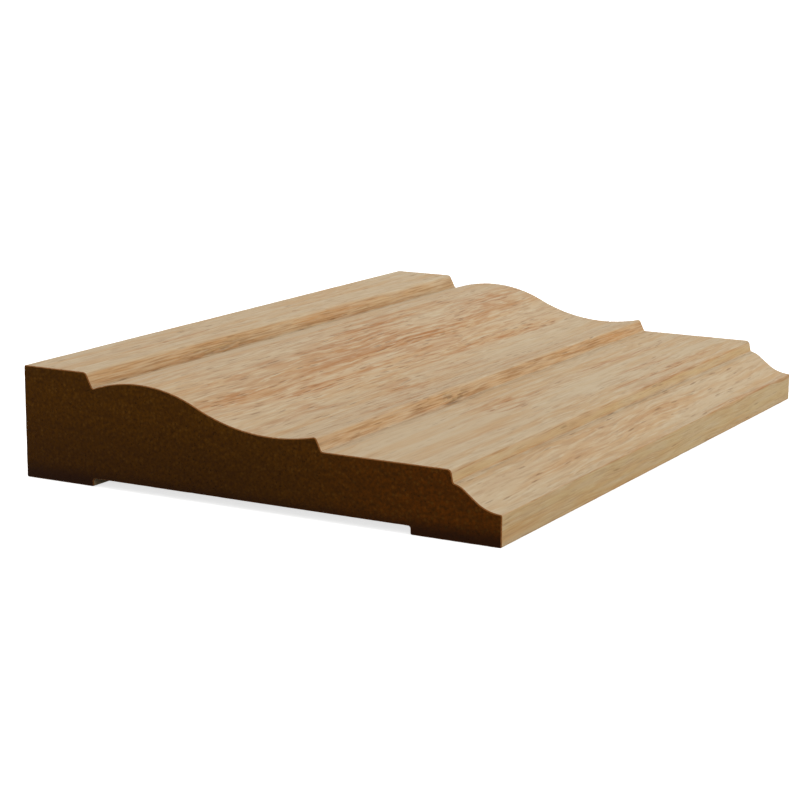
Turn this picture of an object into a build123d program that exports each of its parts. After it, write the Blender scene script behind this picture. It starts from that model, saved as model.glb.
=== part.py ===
from build123d import *
from math import cos, radians, sin, sqrt, tan
import os

# Casing moulding: one planed length of hardwood trim for the sides of a door or window,
# cut square at both ends and lying on its relieved back.
# X runs across the face from the thick outer edge to the thin inner edge, Y runs along the
# length and Z points out of the face. The origin is at the middle of the back.
# All sizes are in millimetres and all angles in degrees.

# The blank: 3/4 by 3-1/2 in stock, and the length of the cut piece
thickness = 19.05
width = 88.9
length = 127.0

# The face is cut by one knife, so its heights are drops from the band, one after another.
# Its runs follow each other across the face from the thick edge, up to the flat.
band_width = 12.7
quirk_run = 1.35
crest_run = 9.1
crest_drop = 1.0
crown_radius = 26.0
ogee_run = 25.5
ogee_fall = 5.75
lip_run = 8.0
lip_step_run = 1.1
lip_step_drop = 2.25

# The nose is laid out back from the thin edge, and the flat takes up what is left between
nose_step_run = 0.4
nose_step_drop = 2.07
nose_start_angle = 9.0
nose_ramp_angle = 38.0
nose_crown_radius = 4.2
nose_ramp_run = 1.85
nose_hollow_radius = 7.2

# The back: two feet that meet the wall, and the shallow relief between them
outer_foot_width = 13.9
inner_foot_width = 15.5
relief_depth = 1.35

# Radii at the corners of the section
band_arris = 0.9
lip_arris = 0.6
flat_arris = 0.8
knife_root = 0.35
relief_root = 0.4
edge_ease = 0.3


# Points of the face, as distance from the thick edge and height above the back
band_end = (band_width, thickness)

crest = (band_width + quirk_run + crest_run, thickness - crest_drop)
quirk_drop = crown_radius - sqrt(crown_radius**2 - crest_run**2)
quirk_foot = (band_width + quirk_run, crest[1] - quirk_drop)

# The crown and the hollow are level at the crest and at the low line and meet on the chord
# between them, so their radii add up to a sum that the chord sets.
radius_sum = (ogee_run**2 + ogee_fall**2) / (2 * ogee_fall)
hollow_radius = radius_sum - crown_radius
crown_share = crown_radius / radius_sum
turn = (crest[0] + crown_share * ogee_run, crest[1] - crown_share * ogee_fall)
low = (crest[0] + ogee_run, crest[1] - ogee_fall)
lip_rise = hollow_radius - sqrt(hollow_radius**2 - lip_run**2)
lip = (low[0] + lip_run, low[1] + lip_rise)

start_turn = radians(nose_start_angle)
ramp_turn = radians(nose_ramp_angle)
nose_crown_run = nose_crown_radius * (sin(ramp_turn) - sin(start_turn))
nose_hollow_run = nose_hollow_radius * sin(ramp_turn)
nose_run = nose_crown_run + nose_ramp_run + nose_hollow_run

flat_start = (lip[0] + lip_step_run, lip[1] - lip_step_drop)
nose_start = (width - nose_run, flat_start[1] - nose_step_drop)
flat_end = (nose_start[0] - nose_step_run, flat_start[1])

# Corners of the back, from the thick edge
outer_foot_end = (outer_foot_width, 0)
relief_start = (outer_foot_width, relief_depth)
relief_end = (width - inner_foot_width, relief_depth)
inner_foot_start = (width - inner_foot_width, 0)
thick_edge_foot = (0, 0)
thick_edge_top = (0, thickness)
thin_edge_foot = (width, 0)


# The moulding: its section, with the corners rounded, extruded along its length
section_plane = Plane(origin=(-width / 2, 0, 0), x_dir=(1, 0, 0), z_dir=(0, -1, 0))

with BuildPart() as casing:
    with BuildSketch(section_plane) as section:
        with BuildLine():
            # Thick edge, band and quirk
            Polyline(thick_edge_foot, thick_edge_top, band_end, quirk_foot)
            # Crown and hollow of the wide ogee
            ThreePointArc(quirk_foot, crest, turn)
            ThreePointArc(turn, low, lip)
            # Lip, flat and the step down to the nose
            Polyline(lip, flat_start, flat_end, nose_start)
            # Crown, ramp and hollow of the nose, level again at the thin edge
            start_direction = (cos(start_turn), -sin(start_turn))
            ramp_direction = (cos(ramp_turn), -sin(ramp_turn))
            nose_crown = JernArc(
                start=nose_start,
                tangent=start_direction,
                radius=nose_crown_radius,
                arc_size=nose_start_angle - nose_ramp_angle,
            )
            ramp_end = nose_crown @ 1 + Vector(nose_ramp_run, -nose_ramp_run * tan(ramp_turn))
            Line(nose_crown @ 1, ramp_end)
            nose_hollow = JernArc(
                start=ramp_end,
                tangent=ramp_direction,
                radius=nose_hollow_radius,
                arc_size=nose_ramp_angle,
            )
            # Thin edge, and back across the feet and the relief
            thin_edge_top = nose_hollow @ 1
            Polyline(
                thin_edge_top,
                thin_edge_foot,
                inner_foot_start,
                relief_end,
                relief_start,
                outer_foot_end,
                thick_edge_foot,
            )
        make_face()
        corner_radii = [
            (band_end, band_arris),
            (lip, lip_arris),
            (flat_end, flat_arris),
            (quirk_foot, knife_root),
            (flat_start, knife_root),
            (nose_start, knife_root),
            (relief_start, relief_root),
            (relief_end, relief_root),
            (thick_edge_top, edge_ease),
            (thick_edge_foot, edge_ease),
            (thin_edge_top, edge_ease),
            (thin_edge_foot, edge_ease),
            (outer_foot_end, edge_ease),
            (inner_foot_start, edge_ease),
        ]
        for corner, radius in corner_radii:
            fillet(section.vertices().sort_by_distance(corner)[0], radius=radius)
    extrude(amount=length / 2, both=True)

casing.part.label = "casing_moulding"

os.makedirs("parts", exist_ok=True)
export_step(casing.part, "parts/casing_moulding.step")
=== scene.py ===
"""Casing moulding in bare red oak, lying on its back on a plain pale floor.

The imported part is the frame. The moulding is drawn again over it as one closed mesh with a finer
section, with the open grain of the oak cut into it, and dressed in a solid wood that runs through
the faces and the sawn ends alike. Lengths in the classes are in millimetres, angles in degrees.
"""

import logging
import math
from dataclasses import dataclass, field
from enum import Enum
from typing import Any

import bmesh
import bpy
from mathutils import Matrix, Vector


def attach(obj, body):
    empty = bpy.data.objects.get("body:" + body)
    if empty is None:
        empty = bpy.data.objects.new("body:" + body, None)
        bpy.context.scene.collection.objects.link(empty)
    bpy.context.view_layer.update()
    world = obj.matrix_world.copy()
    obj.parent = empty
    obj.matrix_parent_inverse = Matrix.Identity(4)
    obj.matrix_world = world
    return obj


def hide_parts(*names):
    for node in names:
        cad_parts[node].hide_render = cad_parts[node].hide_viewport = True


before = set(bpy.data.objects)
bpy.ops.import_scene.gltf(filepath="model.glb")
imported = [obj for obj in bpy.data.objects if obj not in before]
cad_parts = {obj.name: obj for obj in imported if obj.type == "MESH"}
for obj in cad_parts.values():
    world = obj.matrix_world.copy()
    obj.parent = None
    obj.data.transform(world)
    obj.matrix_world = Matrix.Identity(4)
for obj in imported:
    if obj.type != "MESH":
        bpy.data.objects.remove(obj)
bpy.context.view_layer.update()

MM = 0.001
# Points that lie nearer than this, in millimetres, count as one.
TOUCHING = 0.01
PHOTO_WIDTH = 800

Socket = bpy.types.NodeSocket
Pair = tuple[float, float]
Triple = tuple[float, float, float]
Colour = tuple[float, float, float, float]

log = logging.getLogger("casing")


def painted(red: int, green: int, blue: int) -> Colour:
    """Turns a screen colour into the linear colour that a shader takes, by the sRGB curve.

    Args:
        red: Red, 0 to 255.
        green: Green, 0 to 255.
        blue: Blue, 0 to 255.

    Returns:
        The linear colour with full alpha.
    """
    levels = (red / 255, green / 255, blue / 255)
    linear = [v / 12.92 if v <= 0.04045 else ((v + 0.055) / 1.055) ** 2.4 for v in levels]
    return (linear[0], linear[1], linear[2], 1.0)


def grey(level: float) -> Colour:
    """Gives a linear grey with full alpha."""
    return (level, level, level, 1.0)


BLEACHED_OAK = painted(193, 177, 149)
BURNT_OAK = painted(132, 96, 60)


class Side(Enum):
    """The two sawn ends, by the way they face along Y."""

    NEAR = -1
    FAR = 1


class Laying(Enum):
    """How one colour is laid on another."""

    OVER = "MIX"
    TINT = "MULTIPLY"


class OutlinePen:
    """Draws a section outline by extruding and spinning one vertex in a plane of constant Y.

    The heading is measured from +X towards +Z, and a turn to the left is positive.
    """

    FEWEST_STEPS = 4

    def __init__(self, name: str, start: Triple, heading: float) -> None:
        """Sets down the first vertex.

        Args:
            name: Name of the object that is drawn.
            start: Place of the first vertex.
            heading: First direction of the pen.
        """
        bpy.ops.object.select_all(action="DESELECT")
        bpy.ops.mesh.primitive_plane_add(size=MM, location=Vector(start) * MM)
        bpy.ops.object.transform_apply(location=True)
        self.piece = bpy.context.active_object
        self.piece.name = name
        self.x, self.y, self.z = start
        self.heading = heading
        bpy.ops.object.mode_set(mode="EDIT")
        bpy.ops.mesh.select_mode(type="VERT")
        bpy.ops.mesh.select_all(action="SELECT")
        bpy.ops.mesh.merge(type="CENTER")

    def run(self, length: float, spacing: float) -> None:
        """Draws a straight edge along the heading.

        Args:
            length: Length of the edge.
            spacing: About how far apart its vertices are.
        """
        cuts = max(1, round(length / spacing))
        across = math.cos(math.radians(self.heading)) * length
        up = math.sin(math.radians(self.heading)) * length
        step = Vector((across, 0, up)) * (MM / cuts)
        for _ in range(cuts):
            bpy.ops.mesh.extrude_region_move(TRANSFORM_OT_translate={"value": step})
        self.x += across
        self.z += up

    def run_to_x(self, x: float, spacing: float) -> None:
        """Draws a straight edge along the heading as far as x."""
        self.run((x - self.x) / math.cos(math.radians(self.heading)), spacing)

    def run_to_z(self, z: float, spacing: float) -> None:
        """Draws a straight edge along the heading as far as z."""
        self.run((z - self.z) / math.sin(math.radians(self.heading)), spacing)

    def sweep_to(self, heading: float, radius: float, spacing: float) -> None:
        """Draws an arc that starts along the heading and ends along a new one.

        Args:
            heading: Direction at the end of the arc.
            radius: Radius of the arc.
            spacing: About how far apart its vertices are.
        """
        turn = heading - self.heading
        side = math.copysign(1, turn)
        angle = math.radians(self.heading)
        centre_x = self.x - side * radius * math.sin(angle)
        centre_z = self.z + side * radius * math.cos(angle)
        steps = max(self.FEWEST_STEPS, round(radius * math.radians(abs(turn)) / spacing))
        bpy.ops.mesh.spin(
            steps=steps,
            angle=math.radians(turn),
            center=Vector((centre_x, self.y, centre_z)) * MM,
            axis=(0, 1, 0),
        )
        self.heading = heading
        angle = math.radians(heading)
        self.x = centre_x + side * radius * math.sin(angle)
        self.z = centre_z - side * radius * math.cos(angle)

    def close(self) -> bpy.types.Object:
        """Joins the last vertex to the first and fills the outline.

        Returns:
            The object, still in edit mode with its face selected.
        """
        bpy.ops.mesh.select_all(action="SELECT")
        bpy.ops.mesh.remove_doubles(threshold=TOUCHING * MM)
        bpy.ops.mesh.edge_face_add()
        return self.piece


@dataclass
class CasingSection:
    """Section of the moulding, from the thick edge on the left to the thin edge on the right.

    The names and sizes are those of the solid part.
    """

    thickness: float = 19.05
    width: float = 88.9
    band_width: float = 12.7
    quirk_run: float = 1.35
    crest_run: float = 9.1
    crest_drop: float = 1.0
    crown_radius: float = 26.0
    ogee_run: float = 25.5
    ogee_fall: float = 5.75
    lip_run: float = 8.0
    lip_step_run: float = 1.1
    lip_step_drop: float = 2.25
    nose_step_run: float = 0.4
    nose_step_drop: float = 2.07
    nose_start_angle: float = 9.0
    nose_ramp_angle: float = 38.0
    nose_crown_radius: float = 4.2
    nose_ramp_run: float = 1.85
    nose_hollow_radius: float = 7.2
    outer_foot_width: float = 13.9
    inner_foot_width: float = 15.5
    relief_depth: float = 1.35
    band_arris: float = 0.9
    lip_arris: float = 0.6
    flat_arris: float = 0.8
    knife_root: float = 0.35
    relief_root: float = 0.4
    edge_ease: float = 0.3
    face_spacing: float = 0.2
    back_spacing: float = 1.2

    def draw(self, name: str, end_y: float) -> bpy.types.Object:
        """Draws the outline at one end of the moulding and fills it.

        Args:
            name: Name of the new object.
            end_y: Place of the end along Y.

        Returns:
            The object, in edit mode with its one face selected.
        """
        left = -self.width / 2
        pen = OutlinePen(name, (left, end_y, self.edge_ease), heading=90)
        self._draw_band_and_quirk(pen, left)
        self._draw_ogee(pen)
        self._draw_flat_and_nose(pen)
        self._draw_back(pen, left)
        return pen.close()

    def _draw_band_and_quirk(self, pen: OutlinePen, left: float) -> None:
        """Draws the thick edge, the band and the sloping side of the quirk.

        Args:
            pen: The pen, at the foot of the thick edge and heading up.
            left: Place of the thick edge along X.
        """
        spacing = self.face_spacing
        crown_start = math.degrees(math.asin(self.crest_run / self.crown_radius))
        crown_drop = self.crown_radius * (1 - math.cos(math.radians(crown_start)))
        quirk_depth = self.crest_drop + crown_drop
        slope = math.degrees(math.atan2(-quirk_depth, self.quirk_run))
        band_tangent = self.band_arris * math.tan(math.radians(-slope) / 2)
        root_tangent = self.knife_root * math.tan(math.radians(crown_start - slope) / 2)
        slope_length = math.hypot(self.quirk_run, quirk_depth)
        pen.run_to_z(self.thickness - self.edge_ease, self.back_spacing)
        pen.sweep_to(0, self.edge_ease, spacing)
        pen.run_to_x(left + self.band_width - band_tangent, spacing)
        pen.sweep_to(slope, self.band_arris, spacing)
        pen.run(slope_length - band_tangent - root_tangent, spacing)
        advance = math.degrees(root_tangent / self.crown_radius)
        pen.sweep_to(crown_start - advance, self.knife_root, spacing)

    def _draw_ogee(self, pen: OutlinePen) -> None:
        """Draws the crown, the hollow, the lip and the step below it.

        Args:
            pen: The pen, at the start of the crown and along it.
        """
        spacing = self.face_spacing
        radius_sum = (self.ogee_run**2 + self.ogee_fall**2) / (2 * self.ogee_fall)
        hollow_radius = radius_sum - self.crown_radius
        turn_angle = -math.degrees(math.asin(self.ogee_run / radius_sum))
        lip_angle = math.degrees(math.asin(self.lip_run / hollow_radius))
        slope = math.degrees(math.atan2(-self.lip_step_drop, self.lip_step_run))
        lip_tangent = self.lip_arris * math.tan(math.radians(lip_angle - slope) / 2)
        root_tangent = self.knife_root * math.tan(math.radians(-slope) / 2)
        slope_length = math.hypot(self.lip_step_run, self.lip_step_drop)
        pen.sweep_to(turn_angle, self.crown_radius, spacing)
        advance = math.degrees(lip_tangent / hollow_radius)
        pen.sweep_to(lip_angle - advance, hollow_radius, spacing)
        pen.sweep_to(slope, self.lip_arris, spacing)
        pen.run(slope_length - lip_tangent - root_tangent, spacing)
        pen.sweep_to(0, self.knife_root, spacing)

    def _draw_flat_and_nose(self, pen: OutlinePen) -> None:
        """Draws the flat, the step, the nose and the thin edge.

        Args:
            pen: The pen, at the start of the flat and level.
        """
        spacing = self.face_spacing
        start = math.radians(self.nose_start_angle)
        ramp = math.radians(self.nose_ramp_angle)
        crown_run = self.nose_crown_radius * (math.sin(ramp) - math.sin(start))
        nose_run = crown_run + self.nose_ramp_run + self.nose_hollow_radius * math.sin(ramp)
        slope = math.degrees(math.atan2(-self.nose_step_drop, self.nose_step_run))
        flat_tangent = self.flat_arris * math.tan(math.radians(-slope) / 2)
        root_turn = -self.nose_start_angle - slope
        root_tangent = self.knife_root * math.tan(math.radians(root_turn) / 2)
        slope_length = math.hypot(self.nose_step_run, self.nose_step_drop)
        right = self.width / 2
        flat_end = right - nose_run - self.nose_step_run
        pen.run_to_x(flat_end - flat_tangent, spacing)
        pen.sweep_to(slope, self.flat_arris, spacing)
        pen.run(slope_length - flat_tangent - root_tangent, spacing)
        advance = math.degrees(root_tangent / self.nose_crown_radius)
        pen.sweep_to(-self.nose_start_angle - advance, self.knife_root, spacing)
        pen.sweep_to(-self.nose_ramp_angle, self.nose_crown_radius, spacing)
        pen.run_to_x(right - self.nose_hollow_radius * math.sin(ramp), spacing)
        ease_advance = math.asin(self.edge_ease / (self.nose_hollow_radius + self.edge_ease))
        pen.sweep_to(-math.degrees(ease_advance), self.nose_hollow_radius, spacing)
        pen.sweep_to(-90, self.edge_ease, spacing)
        pen.run_to_z(self.edge_ease, spacing)
        pen.sweep_to(-180, self.edge_ease, spacing)

    def _draw_back(self, pen: OutlinePen, left: float) -> None:
        """Draws the feet and the relief between them, from the thin edge back to the thick one.

        Args:
            pen: The pen, under the thin edge and heading left.
            left: Place of the thick edge along X.
        """
        spacing = self.back_spacing
        right = -left
        ease, root = self.edge_ease, self.relief_root
        pen.run_to_x(right - self.inner_foot_width + ease, spacing)
        pen.sweep_to(-270, ease, spacing)
        pen.run_to_z(self.relief_depth - root, spacing)
        pen.sweep_to(-180, root, spacing)
        pen.run_to_x(left + self.outer_foot_width + root, spacing)
        pen.sweep_to(-90, root, spacing)
        pen.run_to_z(ease, spacing)
        pen.sweep_to(-180, ease, spacing)
        pen.run_to_x(left + ease, spacing)
        pen.sweep_to(-270, ease, spacing)


class NodeSheet:
    """Adds nodes to one tree and joins them with short calls."""

    # Numbers of the mix node's colour sockets, whose names its other sockets share.
    MIX_SHARE = 0
    MIX_FIRST = 6
    MIX_SECOND = 7
    MIX_RESULT = 2

    def __init__(self, tree: bpy.types.NodeTree) -> None:
        """Starts from an empty tree."""
        self.tree = tree
        tree.nodes.clear()

    def node(self, kind: str, inputs: dict[Any, Any] | None = None, **settings: Any) -> bpy.types.Node:
        """Adds a node.

        Args:
            kind: The node's type.
            inputs: Values or sockets for its inputs, by name or number.
            **settings: Properties of the node.

        Returns:
            The node.
        """
        made = self.tree.nodes.new(kind)
        for name, value in settings.items():
            setattr(made, name, value)
        for key, value in (inputs or {}).items():
            if isinstance(value, Socket):
                self.tree.links.new(value, made.inputs[key])
            else:
                made.inputs[key].default_value = value
        return made

    def math(self, operation: str, *values: Any) -> Socket:
        """Works out one number from sockets or numbers."""
        return self.node("ShaderNodeMath", dict(enumerate(values)), operation=operation).outputs[0]

    def vector(self, operation: str, first: Any, second: Any) -> Socket:
        """Works out one vector from two vectors."""
        made = self.node("ShaderNodeVectorMath", {0: first, 1: second}, operation=operation)
        return made.outputs["Vector"]

    def axis(self, vector: Socket, name: str) -> Socket:
        """Gives the part of a vector along one axis."""
        return self.node("ShaderNodeSeparateXYZ", {0: vector}).outputs[name]

    def length(self, vector: Socket) -> Socket:
        """Gives the length of a vector."""
        return self.node("ShaderNodeVectorMath", {0: vector}, operation="LENGTH").outputs["Value"]

    def fade(self, value: Socket, start: float, end: float) -> Socket:
        """Rises smoothly from 0 at start to 1 at end, or falls where end is the smaller."""
        inputs = {"Value": value, "From Min": start, "From Max": end}
        return self.node("ShaderNodeMapRange", inputs, interpolation_type="SMOOTHSTEP").outputs[0]

    def noise_node(self, place: Socket, pitch: Triple, detail: float, shift: float = 0.0) -> bpy.types.Node:
        """Adds a noise whose marks are about as large as pitch on each axis.

        Args:
            place: Place in the wood.
            pitch: Size of the marks.
            detail: How many finer layers it has.
            shift: Move through the noise, so that two of them differ.

        Returns:
            The noise node, with a number and a colour.
        """
        stretched = self.vector("DIVIDE", place, pitch)
        moved = self.vector("ADD", stretched, (shift, shift, shift))
        return self.node("ShaderNodeTexNoise", {"Vector": moved, "Scale": 1.0, "Detail": detail})

    def noise(self, place: Socket, pitch: Triple, detail: float, shift: float = 0.0) -> Socket:
        """Gives the number of such a noise, which is 0.5 on the average."""
        return self.noise_node(place, pitch, detail, shift).outputs[0]

    def cells(self, place: Socket, pitch: Triple) -> bpy.types.Node:
        """Adds scattered cells that are about as large as pitch on each axis."""
        stretched = self.vector("DIVIDE", place, pitch)
        return self.node("ShaderNodeTexVoronoi", {"Vector": stretched, "Scale": 1.0})

    def blend(self, share: Any, first: Any, second: Any, laying: Laying = Laying.OVER) -> Socket:
        """Lays a second colour on a first one.

        Args:
            share: How much of the second one shows, from 0 to 1.
            first: The colour below.
            second: The colour on top.
            laying: How it is laid.

        Returns:
            The colour of both.
        """
        inputs = {self.MIX_SHARE: share, self.MIX_FIRST: first, self.MIX_SECOND: second}
        made = self.node("ShaderNodeMix", inputs, data_type="RGBA", blend_type=laying.value)
        return made.outputs[self.MIX_RESULT]

    def wash(self, ground: Socket, colour: Any, amount: Socket, share: Any) -> Socket:
        """Lays a share of a colour on the ground wherever the amount is above 0."""
        return self.blend(self.math("MULTIPLY", amount, share), ground, colour)


@dataclass(frozen=True)
class Streak:
    """A mark along the grain: its middle, how far it reaches each way and its strength."""

    x: float
    y: float
    reach_x: float
    reach_y: float
    strength: float
    core: float = 0.1

    def lay(self, sheet: NodeSheet, place: Socket) -> Socket:
        """Fades from the strength in the core to 0 at the reach, the same at every height.

        Args:
            sheet: The tree to add to.
            place: Place in the wood.

        Returns:
            How strong the streak is.
        """
        moved = sheet.vector("SUBTRACT", place, (self.x, self.y, 0.0))
        shares = (1 / self.reach_x, 1 / self.reach_y, 0.0)
        away = sheet.length(sheet.vector("MULTIPLY", moved, shares))
        return sheet.math("MULTIPLY", sheet.fade(away, 1.0, self.core), self.strength)


@dataclass(frozen=True)
class TornPatch:
    """A shallow tear that the knife left on a steep member."""

    middle: Triple
    reach: Triple
    strength: float
    core: float = 0.35
    ragged_pitch: Triple = (0.5, 3.2, 0.5)
    shred_levels: Pair = (0.38, 0.62)

    def lay(self, sheet: NodeSheet, place: Socket) -> Socket:
        """Gives 1 in the deepest shreds of the tear and 0 on the sound wood.

        Args:
            sheet: The tree to add to.
            place: Place in the wood.

        Returns:
            How deep the tear is.
        """
        moved = sheet.vector("SUBTRACT", place, self.middle)
        away = sheet.length(sheet.vector("DIVIDE", moved, self.reach))
        shreds = sheet.fade(sheet.noise(place, self.ragged_pitch, detail=2.0), *self.shred_levels)
        depth = sheet.math("MULTIPLY", sheet.fade(away, 1.0, self.core), self.strength)
        return sheet.math("MULTIPLY", depth, shreds)


@dataclass(frozen=True)
class SawMarks:
    """Faint arcs that a round blade leaves on a sawn end."""

    axle: Triple = (46.0, 0.0, -130.0)
    pitch: float = 1.5
    waver_pitch: Triple = (9.0, 9.0, 4.0)
    waver_levels: Pair = (0.35, 0.65)

    def lay(self, sheet: NodeSheet, place: Socket) -> Socket:
        """Gives 1 in the deepest marks and 0 between them.

        Args:
            sheet: The tree to add to.
            place: Place in the wood.

        Returns:
            How deep the marks are.
        """
        outward = sheet.vector("SUBTRACT", place, self.axle)
        reach = sheet.length(sheet.vector("MULTIPLY", outward, (1.0, 0.0, 1.0)))
        half = self.pitch / 2
        scratch = sheet.fade(sheet.math("PINGPONG", reach, half), 0.0, half)
        waver = sheet.noise(place, self.waver_pitch, detail=1.0, shift=11.0)
        return sheet.math("MULTIPLY", scratch, sheet.fade(waver, *self.waver_levels))


@dataclass
class GrainFields:
    """What the grain gives at each place of the wood, as numbers from 0 to 1."""

    figure: Socket
    earlywood: Socket
    ring_line: Socket
    threads: Socket
    dashes: Socket
    pale_dashes: Socket
    pores: Socket
    tone: Socket
    bleach: Socket
    scars: Socket
    torn: Socket


@dataclass(frozen=True)
class OakGrain:
    """Solid grain of a flat-sawn oak board: rings about a pith below it, pores and fibre along Y.

    A pitch is the size of a texture's marks, and levels are where its noise starts to tell and tells
    in full. Of the pores' shares the first is added in the figure and the second is everywhere.
    """

    pith: Triple = (-48.2, 0.0, -112.9)
    first_ring: float = 133.98
    ring_width: float = 3.9
    ring_onset: Pair = (0.0, 0.06)
    earlywood_end: Pair = (0.55, 0.08)
    ring_line_end: Pair = (0.2, 0.06)
    ring_figure: float = 0.4
    wander_pitch: Triple = (7.0, 34.0, 7.0)
    wander: Triple = (1.3, 0.0, 1.3)
    ragged_pitch: Triple = (0.9, 12.0, 0.9)
    ragged: Triple = (1.6, 18.0, 0.0)
    patch_pitch: Triple = (7.0, 30.0, 7.0)
    patch_levels: Pair = (0.4, 0.68)
    calming: float = 0.75
    thread_pitch: Triple = (0.8, 42.0, 0.5)
    thread_levels: Pair = (0.54, 0.66)
    thread_gain: float = 0.08
    dash_pitch: Triple = (0.44, 6.0, 0.25)
    dash_levels: Pair = (0.5, 0.64)
    dash_gain: float = 0.06
    pale_pitch: Triple = (0.44, 7.5, 0.25)
    pale_levels: Pair = (0.5, 0.66)
    pore_pitch: Triple = (0.36, 4.0, 0.36)
    pore_shares: Pair = (0.5, 0.07)
    pore_choice: Pair = (0.0, 0.1)
    pore_rim: Pair = (0.5, 0.2)
    tone_pitch: Triple = (2.0, 42.0, 2.0)
    scar_pitch: Triple = (0.4, 6.0, 0.4)
    scar_levels: Pair = (0.4, 0.6)
    streaks: tuple[Streak, ...] = (
        # The ruddy ground of whole members.
        Streak(-38.0, 0.0, 7.0, 160.0, 0.15),
        Streak(-20.0, 0.0, 10.0, 160.0, 0.3),
        Streak(-8.0, 0.0, 9.0, 160.0, 0.46),
        Streak(8.0, 0.0, 8.0, 160.0, 0.32),
        Streak(39.0, 0.0, 4.4, 100.0, 0.25),
        # Band and quirk.
        Streak(-38.5, -30.0, 4.0, 32.0, 0.35),
        Streak(-32.5, 22.0, 2.2, 34.0, 0.25),
        Streak(-32.5, -22.0, 1.6, 16.0, 0.3),
        # Crown, ogee and hollow.
        Streak(-17.5, 2.0, 1.8, 30.0, 0.9),
        Streak(-15.0, 47.0, 7.0, 22.0, 0.6),
        Streak(-14.0, -48.0, 5.0, 20.0, 0.42),
        Streak(-13.0, 0.0, 10.0, 42.0, 0.6),
        Streak(-13.0, 36.0, 6.0, 36.0, 0.62),
        Streak(-10.5, 5.0, 3.2, 85.0, 0.7),
        Streak(-10.0, 10.0, 1.9, 40.0, 1.0),
        Streak(-9.0, -53.0, 2.4, 15.0, 0.9),
        Streak(-6.0, -33.0, 2.8, 17.0, 0.95),
        Streak(-4.5, 50.0, 6.0, 22.0, 0.4),
        Streak(-3.2, 30.0, 1.5, 50.0, 0.8),
        Streak(1.5, 3.0, 5.0, 26.0, 0.42),
        Streak(4.0, -18.0, 8.0, 14.0, 0.5),
        Streak(8.0, -34.0, 9.0, 36.0, 0.42),
        # Lip, flat and nose.
        Streak(12.5, 30.0, 1.8, 34.0, 0.2),
        Streak(21.0, -17.0, 10.0, 9.0, 0.45),
        Streak(21.0, 32.0, 1.8, 40.0, 0.55),
        Streak(28.0, 30.0, 2.0, 18.0, 0.55),
        Streak(32.5, 29.0, 2.0, 36.0, 0.65),
    )
    calms: tuple[Streak, ...] = (
        Streak(-27.0, 0.0, 4.0, 90.0, 0.5),
        Streak(-25.0, -48.0, 6.0, 30.0, 0.6),
        Streak(6.0, 36.0, 7.0, 40.0, 0.6),
        Streak(23.5, -44.0, 14.0, 28.0, 0.85),
        Streak(25.0, 30.0, 9.0, 45.0, 0.3),
    )
    bleaches: tuple[Streak, ...] = (
        Streak(-30.0, 15.0, 2.2, 120.0, 0.8),
        Streak(5.0, 44.0, 8.0, 30.0, 0.5),
        Streak(22.0, -46.0, 9.0, 22.0, 0.5),
        Streak(26.5, 8.0, 8.0, 28.0, 0.9),
        Streak(36.0, 0.0, 1.3, 60.0, 0.7),
    )
    scars: tuple[Streak, ...] = (
        Streak(-30.4, -30.0, 0.35, 46.0, 0.5),
        Streak(12.5, 14.0, 0.5, 12.0, 1.0),
        Streak(12.7, 36.0, 0.6, 16.0, 0.7),
        Streak(12.8, 3.0, 0.6, 7.0, 0.8),
        Streak(12.9, -30.0, 0.5, 6.0, 0.9),
        Streak(13.1, -11.5, 0.5, 8.0, 1.0),
        Streak(13.3, 10.0, 0.35, 60.0, 0.7),
        Streak(36.4, 5.0, 0.35, 90.0, 0.6),
    )
    tears: tuple[TornPatch, ...] = (
        TornPatch(middle=(-31.0, -26.0, 17.2), reach=(1.1, 15.0, 1.5), strength=0.65),
        TornPatch(middle=(12.6, -19.0, 11.6), reach=(1.5, 7.0, 1.6), strength=1.0),
    )

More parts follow.
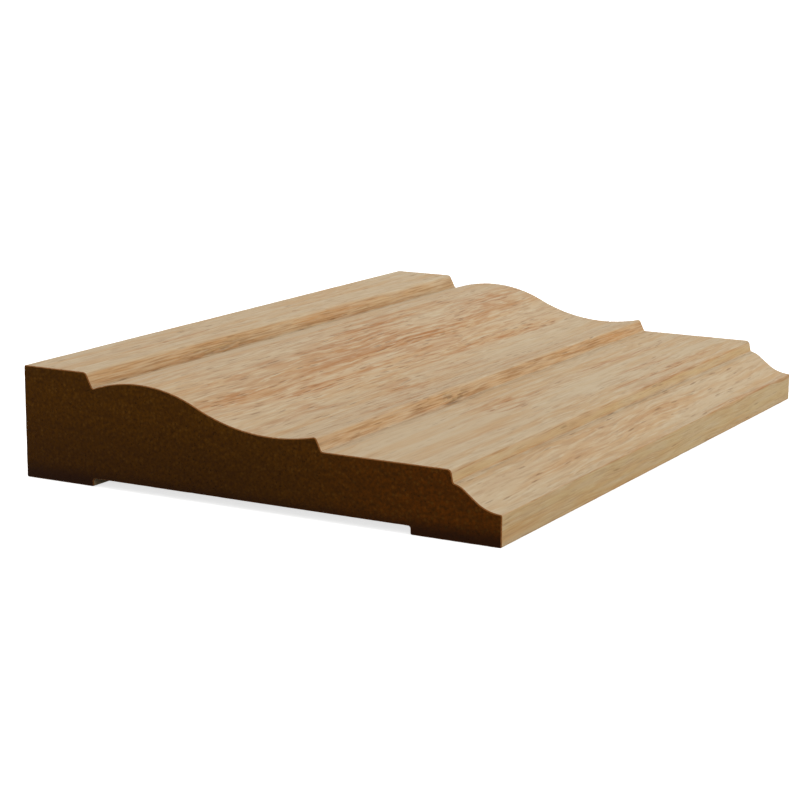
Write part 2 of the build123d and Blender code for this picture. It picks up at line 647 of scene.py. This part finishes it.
    def lay(self, sheet: NodeSheet, place: Socket) -> GrainFields:
        """Lays out the grain in a shader tree or a geometry tree.

        Args:
            sheet: The tree to add to.
            place: Place in the wood.

        Returns:
            The grain's fields.
        """
        along = self._strayed(sheet, place, self.wander_pitch, self.wander)
        ragged = self._strayed(sheet, along, self.ragged_pitch, self.ragged)
        phase = self._ring_phase(sheet, along)
        onset = sheet.fade(phase, *self.ring_onset)
        early = sheet.math("MULTIPLY", onset, sheet.fade(phase, *self.earlywood_end))
        coming = sheet.fade(sheet.noise(along, self.patch_pitch, detail=2.0), *self.patch_levels)
        ring_line = sheet.math("MULTIPLY", onset, sheet.fade(phase, *self.ring_line_end))
        ring_figure = sheet.math("MULTIPLY", sheet.math("MULTIPLY", early, coming), self.ring_figure)
        figure = self._strongest(sheet, ragged, self.streaks, ring_figure)
        calm = self._strongest(sheet, ragged, self.calms, 0.0)
        lively = sheet.math("MULTIPLY_ADD", calm, -self.calming, 1.0)
        long = sheet.noise(along, self.thread_pitch, detail=3.0, shift=53.0)
        raised_long = sheet.math("MULTIPLY_ADD", figure, self.thread_gain, long)
        fine = sheet.noise(along, self.dash_pitch, detail=2.0)
        raised_fine = sheet.math("MULTIPLY_ADD", figure, self.dash_gain, fine)
        pale = sheet.noise(along, self.pale_pitch, detail=3.0, shift=31.0)
        broken = sheet.fade(sheet.noise(place, self.scar_pitch, detail=2.0), *self.scar_levels)
        return GrainFields(
            figure=figure,
            earlywood=early,
            ring_line=sheet.math("MULTIPLY", ring_line, coming),
            threads=sheet.fade(raised_long, *self.thread_levels),
            dashes=sheet.math("MULTIPLY", sheet.fade(raised_fine, *self.dash_levels), lively),
            pale_dashes=sheet.math("MULTIPLY", sheet.fade(pale, *self.pale_levels), lively),
            pores=self._pores(sheet, along, figure),
            tone=sheet.noise(along, self.tone_pitch, detail=3.0),
            bleach=self._strongest(sheet, ragged, self.bleaches, 0.0),
            scars=sheet.math("MULTIPLY", self._strongest(sheet, place, self.scars, 0.0), broken),
            torn=self._strongest(sheet, place, self.tears, 0.0),
        )

    def _strongest(
        self, sheet: NodeSheet, place: Socket, marks: tuple[Streak | TornPatch, ...], ground: Any
    ) -> Socket:
        """Lays several marks on a ground and keeps the strongest at each place.

        Args:
            sheet: The tree to add to.
            place: Place in the wood.
            marks: Streaks or torn patches.
            ground: What is there without them.

        Returns:
            The strongest of them.
        """
        strongest = ground
        for mark in marks:
            strongest = sheet.math("MAXIMUM", strongest, mark.lay(sheet, place))
        return strongest

    def _strayed(self, sheet: NodeSheet, place: Socket, pitch: Triple, most: Triple) -> Socket:
        """Moves each place by a smooth noise.

        Args:
            sheet: The tree to add to.
            place: Place in the wood.
            pitch: Size of the noise's marks.
            most: How far it moves a place at most, either way.

        Returns:
            The moved place.
        """
        noise = sheet.noise_node(place, pitch, detail=2.0, shift=17.0).outputs[1]
        centred = sheet.vector("SUBTRACT", noise, (0.5, 0.5, 0.5))
        whole = [2 * part for part in most]
        return sheet.vector("ADD", place, sheet.vector("MULTIPLY", centred, whole))

    def _ring_phase(self, sheet: NodeSheet, place: Socket) -> Socket:
        """Runs from 0 at the start of each ring, where the open wood is, to 1 at its end.

        Args:
            sheet: The tree to add to.
            place: Place in the wood.

        Returns:
            The share of the ring that lies behind.
        """
        outward = sheet.vector("SUBTRACT", place, self.pith)
        reach = sheet.length(sheet.vector("MULTIPLY", outward, (1.0, 0.0, 1.0)))
        rings = sheet.math("DIVIDE", sheet.math("SUBTRACT", reach, self.first_ring), self.ring_width)
        return sheet.math("FRACT", rings)

    def _pores(self, sheet: NodeSheet, place: Socket, figure: Socket) -> Socket:
        """Scatters open pores along the grain, more of them in the figure.

        Args:
            sheet: The tree to add to.
            place: Place in the wood.
            figure: Share of ruddy figure.

        Returns:
            1 inside a pore and 0 outside.
        """
        cells = sheet.cells(place, self.pore_pitch)
        chance = sheet.axis(cells.outputs["Color"], "X")
        wanted = sheet.math("MULTIPLY_ADD", figure, *self.pore_shares)
        chosen = sheet.fade(sheet.math("SUBTRACT", wanted, chance), *self.pore_choice)
        inside = sheet.fade(cells.outputs["Distance"], *self.pore_rim)
        return sheet.math("MULTIPLY", chosen, inside)


@dataclass(frozen=True)
class PlanedFace:
    """Pale planed oak with ruddy figure, threads, dashes and open pores.

    Where a pair of shares is given, the first is added in the figure and the second is everywhere.
    """

    pale: Colour = painted(187, 167, 137)
    warm: Colour = painted(184, 155, 118)
    warm_levels: Pair = (0.4, 0.66)
    ruddy: Colour = painted(183, 139, 98)
    ruddy_share: float = 0.4
    line: Colour = painted(156, 102, 55)
    line_levels: Pair = (0.15, 0.6)
    ring_share: float = 0.3
    bleached: Colour = BLEACHED_OAK
    pale_share: float = 0.65
    bleach_share: float = 0.5
    thread_shares: Pair = (0.56, 0.05)
    fibre: Colour = painted(158, 131, 100)
    dash_shares: Pair = (0.22, 0.31)
    tone_swing: float = 1.2
    pore: Colour = painted(112, 88, 68)
    pore_share: float = 0.45
    torn: Colour = painted(116, 100, 80)
    torn_share: float = 0.6
    burnt: Colour = BURNT_OAK
    scar_share: float = 0.5
    near_tone: Colour = painted(250, 248, 246)
    near_along: Pair = (50.0, -60.0)

    def colour(self, sheet: NodeSheet, fields: GrainFields, place: Socket) -> Socket:
        """Colours the planed faces, a little deeper towards the near end.

        Args:
            sheet: The tree to add to.
            fields: The grain.
            place: Place in the wood.

        Returns:
            The colour.
        """
        wood = sheet.blend(sheet.fade(fields.tone, *self.warm_levels), self.pale, self.warm)
        wood = sheet.wash(wood, self.ruddy, fields.figure, self.ruddy_share)
        wood = sheet.wash(wood, self.line, fields.ring_line, self.ring_share)
        wood = sheet.wash(wood, self.bleached, fields.pale_dashes, self.pale_share)
        wood = sheet.wash(wood, self.bleached, fields.bleach, self.bleach_share)
        thread_share = sheet.math("MULTIPLY_ADD", fields.figure, *self.thread_shares)
        wood = sheet.wash(wood, self.line, fields.threads, thread_share)
        swing = sheet.math("MULTIPLY_ADD", fields.tone, self.tone_swing, -self.tone_swing / 2)
        varied = sheet.math("ADD", fields.figure, swing)
        dash_colour = sheet.blend(sheet.fade(varied, *self.line_levels), self.fibre, self.line)
        dash_share = sheet.math("MULTIPLY_ADD", fields.figure, *self.dash_shares)
        wood = sheet.wash(wood, dash_colour, fields.dashes, dash_share)
        wood = sheet.wash(wood, self.pore, fields.pores, self.pore_share)
        wood = sheet.wash(wood, self.torn, fields.torn, self.torn_share)
        wood = sheet.wash(wood, self.burnt, fields.scars, self.scar_share)
        toned = sheet.blend(1.0, wood, self.near_tone, Laying.TINT)
        return sheet.blend(sheet.fade(sheet.axis(place, "Y"), *self.near_along), wood, toned)


@dataclass(frozen=True)
class KnifedSlope:
    """Steep members, browner partly in their own colour and partly as painted shade, flecked as the knife
    leaves them, and yellower upright edges.

    A turn is where the height part of the face's normal starts to tell and tells in full. Of the
    streaks' shares the first is added in the streaks and the second is everywhere.
    """

    # The steep tint is partly painted shade. The edge tint is the upright edges' own colour.
    steep: Colour = painted(247, 224, 196)
    edge: Colour = painted(255, 246, 220)
    slope_turn: Pair = (0.85, 0.5)
    knifed_turn: Pair = (0.1, 0.4)
    streak_pitch: Triple = (1.2, 13.0, 1.2)
    streak_levels: Pair = (0.3, 0.65)
    streak_shares: Pair = (0.45, 0.48)
    fleck_pitch: Triple = (0.26, 8.5, 0.26)
    pale_fleck: Colour = BLEACHED_OAK
    pale_levels: Pair = (0.48, 0.36)
    pale_share: float = 0.28
    dark_fleck: Colour = BURNT_OAK
    dark_levels: Pair = (0.5, 0.64)
    dark_share: float = 0.44

    def colour(self, sheet: NodeSheet, wood: Socket, place: Socket, upward: Socket) -> Socket:
        """Tints and flecks the wood where it is steep.

        Args:
            sheet: The tree to add to.
            wood: Colour of the planed wood.
            place: Place in the wood.
            upward: Height part of the face's normal.

        Returns:
            The colour.
        """
        slope = sheet.fade(upward, *self.slope_turn)
        knifed = sheet.fade(upward, *self.knifed_turn)
        streaks = sheet.fade(sheet.noise(place, self.streak_pitch, detail=2.0), *self.streak_levels)
        share = sheet.math("MULTIPLY", slope, sheet.math("MULTIPLY_ADD", streaks, *self.streak_shares))
        # Tint by slant: on steep members it is partly painted shade, browner and more orange.
        tint = sheet.blend(knifed, self.edge, self.steep)
        tinted = sheet.blend(share, wood, sheet.blend(1.0, wood, tint, Laying.TINT))
        cut = sheet.math("MULTIPLY", slope, knifed)
        flecks = sheet.noise(place, self.fleck_pitch, detail=3.0, shift=71.0)
        light = sheet.math("MULTIPLY", sheet.fade(flecks, *self.pale_levels), cut)
        dark = sheet.math("MULTIPLY", sheet.fade(flecks, *self.dark_levels), cut)
        flecked = sheet.wash(tinted, self.pale_fleck, light, self.pale_share)
        return sheet.wash(flecked, self.dark_fleck, dark, self.dark_share)


@dataclass(frozen=True)
class SawnEnd:
    """Brown end grain: mottled wood, pale ray ends and faint saw marks.

    It is ruddier towards the thin edge. Its browns are partly painted shade, and more painted shade makes
    it dimmer low on the thick side and dark along the feet.
    """

    # The end grain's browns are written darker than its own colour, partly as painted shade.
    wood: Colour = painted(108, 65, 4)
    ruddy: Colour = painted(119, 61, 2)
    ruddy_across: Pair = (0.0, 36.0)
    open_wood: Colour = painted(72, 39, 1)
    mottle_pitch: Triple = (0.6, 0.6, 0.6)
    mottle_levels: Pair = (0.2, 0.8)
    ray: Colour = painted(150, 103, 38)
    ray_pitch: Triple = (0.62, 0.62, 0.62)
    ray_choice: Pair = (0.45, 0.85)
    ray_rim: Pair = (0.6, 0.2)
    ray_share: float = 0.22
    ring_share: float = 0.25
    saw_share: float = 0.2
    pore: Colour = painted(48, 26, 8)
    pore_share: float = 0.6
    # Colour of the painted shade low on the ends, most on the thick side, and of the painted shadow along
    # their feet. The fields below set where they fall.
    back: Colour = painted(34, 11, 0)
    low_shade_across: Pair = (40.0, -10.0)
    low_shade_heights: Pair = (15.0, 3.0)
    low_shade_share: float = 0.42
    foot_shadow_heights: Pair = (3.8, 0.6)
    foot_shadow_share: float = 0.88

    def colour(self, sheet: NodeSheet, fields: GrainFields, place: Socket, marks: Socket) -> Socket:
        """Colours the sawn ends.

        Args:
            sheet: The tree to add to.
            fields: The grain.
            place: Place in the wood.
            marks: Depth of the saw marks.

        Returns:
            The colour.
        """
        across = sheet.axis(place, "X")
        height = sheet.axis(place, "Z")
        body = sheet.blend(sheet.fade(across, *self.ruddy_across), self.wood, self.ruddy)
        mottle = sheet.noise(place, self.mottle_pitch, detail=4.0, shift=7.0)
        wood = sheet.blend(sheet.fade(mottle, *self.mottle_levels), self.open_wood, body)
        wood = sheet.wash(wood, self.ray, self._rays(sheet, place), self.ray_share)
        wood = sheet.wash(wood, self.open_wood, fields.earlywood, self.ring_share)
        wood = sheet.wash(wood, self.open_wood, marks, self.saw_share)
        wood = sheet.wash(wood, self.pore, fields.pores, self.pore_share)
        # Painted shade: darker low on the ends, most on the thick side.
        low = sheet.fade(height, *self.low_shade_heights)
        low_shade = sheet.math("MULTIPLY", low, sheet.fade(across, *self.low_shade_across))
        wood = sheet.wash(wood, self.back, low_shade, self.low_shade_share)
        # Painted shadow: dark along the feet, at the bottom of the ends.
        return sheet.wash(wood, self.back, sheet.fade(height, *self.foot_shadow_heights), self.foot_shadow_share)

    def _rays(self, sheet: NodeSheet, place: Socket) -> Socket:
        """Scatters the ends of the rays.

        Args:
            sheet: The tree to add to.
            place: Place in the wood.

        Returns:
            1 inside a ray and 0 outside.
        """
        cells = sheet.cells(place, self.ray_pitch)
        chosen = sheet.fade(sheet.axis(cells.outputs["Color"], "X"), *self.ray_choice)
        return sheet.math("MULTIPLY", chosen, sheet.fade(cells.outputs["Distance"], *self.ray_rim))


@dataclass(frozen=True)
class BareOak:
    """Bare red oak: planed faces, knifed slopes and sawn ends of one solid wood.

    A turn is where the length part of the face's normal starts to tell and tells in full.
    """

    name: str = "bare red oak"
    arris: Colour = painted(150, 96, 48)
    arris_turn: Pair = (0.2, 0.6)
    sawn_turn: Pair = (0.6, 0.95)
    sheen: float = 0.08
    roughness: float = 0.7
    pore_roughness: float = 0.2
    fibre_bump: float = 0.35
    saw_bump: float = 0.5
    bump_strength: float = 0.4
    bump_depth: float = 0.08
    grain: OakGrain = field(default_factory=OakGrain)
    face: PlanedFace = field(default_factory=PlanedFace)
    slope: KnifedSlope = field(default_factory=KnifedSlope)
    end: SawnEnd = field(default_factory=SawnEnd)
    saw: SawMarks = field(default_factory=SawMarks)

    def material(self) -> bpy.types.Material:
        """Lays out the wood.

        Returns:
            The material.
        """
        made = bpy.data.materials.new(self.name)
        made.use_nodes = True
        sheet = NodeSheet(made.node_tree)
        coordinates = sheet.node("ShaderNodeTexCoord").outputs["Object"]
        place = sheet.vector("DIVIDE", coordinates, (MM, MM, MM))
        fields = self.grain.lay(sheet, place)
        facing = sheet.node("ShaderNodeNewGeometry").outputs["Normal"]
        lengthwise = sheet.math("ABSOLUTE", sheet.axis(facing, "Y"))
        planed = self.face.colour(sheet, fields, place)
        knifed = self.slope.colour(sheet, planed, place, sheet.axis(facing, "Z"))
        eased = sheet.blend(sheet.fade(lengthwise, *self.arris_turn), knifed, self.arris)
        sawn = sheet.fade(lengthwise, *self.sawn_turn)
        marks = self.saw.lay(sheet, place)
        inputs = {
            "Base Color": sheet.blend(sawn, eased, self.end.colour(sheet, fields, place, marks)),
            "Roughness": sheet.math("MULTIPLY_ADD", fields.pores, self.pore_roughness, self.roughness),
            "Specular IOR Level": self.sheen,
            "Normal": self._bump(sheet, fields, sheet.math("MULTIPLY", marks, sawn)),
        }
        shader = sheet.node("ShaderNodeBsdfPrincipled", inputs)
        sheet.node("ShaderNodeOutputMaterial", {"Surface": shader.outputs[0]})
        return made

    def _bump(self, sheet: NodeSheet, fields: GrainFields, marks: Socket) -> Socket:
        """Sinks the pores, the soft fibre and the saw marks.

        Args:
            sheet: The tree to add to.
            fields: The grain.
            marks: Depth of the saw marks.

        Returns:
            The bumped normal.
        """
        soft = sheet.math("MULTIPLY_ADD", fields.dashes, self.fibre_bump, fields.pores)
        sunk = sheet.math("MULTIPLY_ADD", marks, self.saw_bump, soft)
        height = sheet.math("MULTIPLY", sunk, -1.0)
        inputs = {"Strength": self.bump_strength, "Distance": self.bump_depth * MM, "Height": height}
        return sheet.node("ShaderNodeBump", inputs).outputs[0]


@dataclass(frozen=True)
class OpenGrain:
    """Sinks the pores, the soft fibre, the scars and the tears into the mesh, and raises nothing.

    The whole skin lies a hair below the solid, so that no vertex stands proud of it.
    """

    name: str = "open grain"
    skin_depth: float = 0.004
    pore_depth: float = 0.07
    fibre_depth: float = 0.025
    scar_depth: float = 0.05
    tear_depth: float = 0.3
    grain: OakGrain = field(default_factory=OakGrain)

    def cut(self, piece: bpy.types.Object) -> None:
        """Moves the skin of the piece inwards, square to the length.

        Args:
            piece: The piece, active and in object mode.
        """
        tree = bpy.data.node_groups.new(self.name, "GeometryNodeTree")
        for way in ("INPUT", "OUTPUT"):
            tree.interface.new_socket("Geometry", in_out=way, socket_type="NodeSocketGeometry")
        sheet = NodeSheet(tree)
        position = sheet.node("GeometryNodeInputPosition").outputs[0]
        fields = self.grain.lay(sheet, sheet.vector("DIVIDE", position, (MM, MM, MM)))
        depth = sheet.math("MULTIPLY_ADD", fields.dashes, self.fibre_depth, self.skin_depth)
        depth = sheet.math("MULTIPLY_ADD", fields.pores, self.pore_depth, depth)
        depth = sheet.math("MULTIPLY_ADD", fields.scars, self.scar_depth, depth)
        depth = sheet.math("MULTIPLY_ADD", fields.torn, self.tear_depth, depth)
        outward = sheet.node("GeometryNodeInputNormal").outputs[0]
        inward = sheet.vector("MULTIPLY", outward, (-MM, 0.0, -MM))
        inputs = {0: inward, "Scale": depth}
        offset = sheet.node("ShaderNodeVectorMath", inputs, operation="SCALE").outputs["Vector"]
        whole = sheet.node("NodeGroupInput").outputs[0]
        moved = sheet.node("GeometryNodeSetPosition", {"Geometry": whole, "Offset": offset})
        sheet.node("NodeGroupOutput", {0: moved.outputs[0]})
        modifier = piece.modifiers.new(self.name, "NODES")
        modifier.node_group = tree
        bpy.ops.object.modifier_apply(modifier=modifier.name)
        bpy.data.node_groups.remove(tree)


@dataclass
class CasingMoulding:
    """The moulding itself: one length of stock, cut square at both ends."""

    node: str = "casing_moulding"
    body: str = "root"
    slot: str = "oak"
    name: str = "planed_oak_casing"
    length: float = 127.0
    rows: int = 101
    end_chamfer: float = 0.15
    smooth_angle: float = 30.0
    section: CasingSection = field(default_factory=CasingSection)
    relief: OpenGrain = field(default_factory=OpenGrain)
    finish: BareOak = field(default_factory=BareOak)

    def build(self) -> bpy.types.Object:
        """Draws the section at the near end and extrudes it to the far one.

        Returns:
            The moulding.
        """
        near = Side.NEAR.value * self.length / 2
        far = Side.FAR.value * self.length / 2
        piece = self.section.draw(self.name, near)
        whole = Vector((0, (far - near) * MM, 0))
        bpy.ops.mesh.extrude_region_move(TRANSFORM_OT_translate={"value": whole})
        bpy.ops.mesh.select_all(action="SELECT")
        bpy.ops.mesh.normals_make_consistent(inside=False)
        self._cut_rows(piece)
        self._ease_ends(piece)
        bpy.ops.object.mode_set(mode="OBJECT")
        bpy.ops.object.shade_smooth_by_angle(angle=math.radians(self.smooth_angle))
        self.relief.cut(piece)
        return piece

    def _cut_rows(self, piece: bpy.types.Object) -> None:
        """Cuts the long faces into rows across the length.

        Args:
            piece: The moulding, in edit mode.
        """
        bpy.ops.mesh.select_mode(type="EDGE")
        bpy.ops.mesh.select_all(action="DESELECT")
        shape = bmesh.from_edit_mesh(piece.data)
        for edge in shape.edges:
            first, second = edge.verts
            if abs(first.co.y - second.co.y) > self.length * MM / 2:
                edge.select_set(True)
        bmesh.update_edit_mesh(piece.data)
        bpy.ops.mesh.subdivide(number_cuts=self.rows - 1)

    def _ease_ends(self, piece: bpy.types.Object) -> None:
        """Breaks the sharp arris round each sawn end.

        Args:
            piece: The moulding, in edit mode.
        """
        bpy.ops.mesh.select_all(action="DESELECT")
        shape = bmesh.from_edit_mesh(piece.data)
        at_end = (self.length / 2 - TOUCHING) * MM
        for edge in shape.edges:
            if all(abs(corner.co.y) > at_end for corner in edge.verts):
                edge.select_set(True)
        bmesh.update_edit_mesh(piece.data)
        bpy.ops.mesh.bevel(offset=self.end_chamfer * MM, segments=1, affect="EDGES")

    def dress(self, piece: bpy.types.Object) -> None:
        """Gives the moulding its wood and sets it on the frame.

        Args:
            piece: The moulding.
        """
        piece.data.materials.clear()
        piece.data.materials.append(self.finish.material())
        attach(piece, self.body)
        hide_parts(self.node)
        log.info("%s: %d faces", piece.name, len(piece.data.polygons))


@dataclass(frozen=True)
class Softbox:
    """A soft lamp that faces the moulding. Its place and size are in metres."""

    name: str
    place: Triple
    width: float
    height: float
    power: float

    def hang(self) -> None:
        """Hangs the lamp and turns it to the origin."""
        bpy.ops.object.light_add(type="AREA", location=self.place)
        lamp = bpy.context.active_object
        lamp.name = self.name
        lamp.data.shape = "RECTANGLE"
        lamp.data.size = self.width
        lamp.data.size_y = self.height
        lamp.data.energy = self.power
        lamp.rotation_euler = (-Vector(self.place)).to_track_quat("-Z", "Y").to_euler()


@dataclass
class Studio:
    """Floor, lamps and camera. The floor's size and the near clip are in metres."""

    floor_size: float = 40.0
    floor_seen: float = 0.8
    floor_top_up: float = 0.72
    floor_unseen: float = 0.05
    ambient: float = 0.6
    lamps: tuple[Softbox, ...] = (
        Softbox("right softbox", (1.1, 0.25, 0.28), 1.0, 0.8, 10.7),
        Softbox("left softbox", (-0.7, 0.2, 1.0), 1.0, 1.0, 6.8),
    )
    camera_place: Triple = (181.22, -339.01, 86.10)
    camera_yaw: float = -29.218
    camera_pitch: float = 11.710
    camera_roll: float = 0.288
    focal_pixels: float = 2151.35
    sensor: float = 36.0
    near_clip: float = 0.01

    def build(self) -> None:
        """Sets up the whole studio."""
        self._lay_floor()
        self._light_world()
        for lamp in self.lamps:
            lamp.hang()
        self._place_camera()
        bpy.context.scene.view_settings.view_transform = "Standard"

    def _seen(self, sheet: NodeSheet) -> Socket:
        """Tells what the camera sees, straight or by gloss or glass, from what only throws soft light.

        Args:
            sheet: The tree to add to.

        Returns:
            1 for what is seen and 0 for soft light.
        """
        path = sheet.node("ShaderNodeLightPath")
        straight = path.outputs["Is Camera Ray"]
        mirrored = sheet.math("MAXIMUM", path.outputs["Is Glossy Ray"], path.outputs["Is Transmission Ray"])
        return sheet.math("MAXIMUM", straight, mirrored)

    def _lay_floor(self) -> None:
        """Lays a floor that looks white and keeps the shadow, but throws little light back."""
        bpy.ops.mesh.primitive_plane_add(size=self.floor_size, location=(0, 0, 0))
        floor = bpy.context.active_object
        floor.name = "floor"
        paper = bpy.data.materials.new("white paper")
        paper.use_nodes = True
        sheet = NodeSheet(paper.node_tree)
        lit = sheet.node("ShaderNodeBsdfDiffuse", {"Color": grey(self.floor_seen)}).outputs[0]
        top_up = sheet.node("ShaderNodeEmission", {"Strength": self.floor_top_up}).outputs[0]
        white = sheet.node("ShaderNodeAddShader", {0: lit, 1: top_up}).outputs[0]
        dull = sheet.node("ShaderNodeBsdfDiffuse", {"Color": grey(self.floor_unseen)}).outputs[0]
        mixed = sheet.node("ShaderNodeMixShader", {0: self._seen(sheet), 1: dull, 2: white})
        sheet.node("ShaderNodeOutputMaterial", {"Surface": mixed.outputs[0]})
        floor.data.materials.append(paper)

    def _light_world(self) -> None:
        """Makes the world white to look at and dimmer as a light."""
        world = bpy.data.worlds.new("studio")
        bpy.context.scene.world = world
        world.use_nodes = True
        sheet = NodeSheet(world.node_tree)
        level = sheet.math("MULTIPLY_ADD", self._seen(sheet), 1.0 - self.ambient, self.ambient)
        shell = sheet.node("ShaderNodeBackground", {"Color": grey(1.0), "Strength": level})
        sheet.node("ShaderNodeOutputWorld", {"Surface": shell.outputs[0]})

    def _place_camera(self) -> None:
        """Stands the camera where the photograph was taken from."""
        bpy.ops.object.camera_add()
        camera = bpy.context.active_object
        camera.data.sensor_width = self.sensor
        camera.data.lens = self.focal_pixels * self.sensor / PHOTO_WIDTH
        camera.data.clip_start = self.near_clip
        heading = Matrix.Rotation(math.radians(-self.camera_yaw), 4, "Z")
        tilt = Matrix.Rotation(math.radians(90 - self.camera_pitch), 4, "X")
        roll = Matrix.Rotation(math.radians(self.camera_roll), 4, "Z")
        place = Matrix.Translation(Vector(self.camera_place) * MM)
        camera.matrix_world = place @ heading @ tilt @ roll
        bpy.context.scene.camera = camera


def main() -> None:
    """Builds the moulding and the studio."""
    logging.basicConfig(level=logging.INFO, format="%(message)s")
    moulding = CasingMoulding()
    moulding.dress(moulding.build())
    Studio().build()


if __name__ == "__main__":
    main()
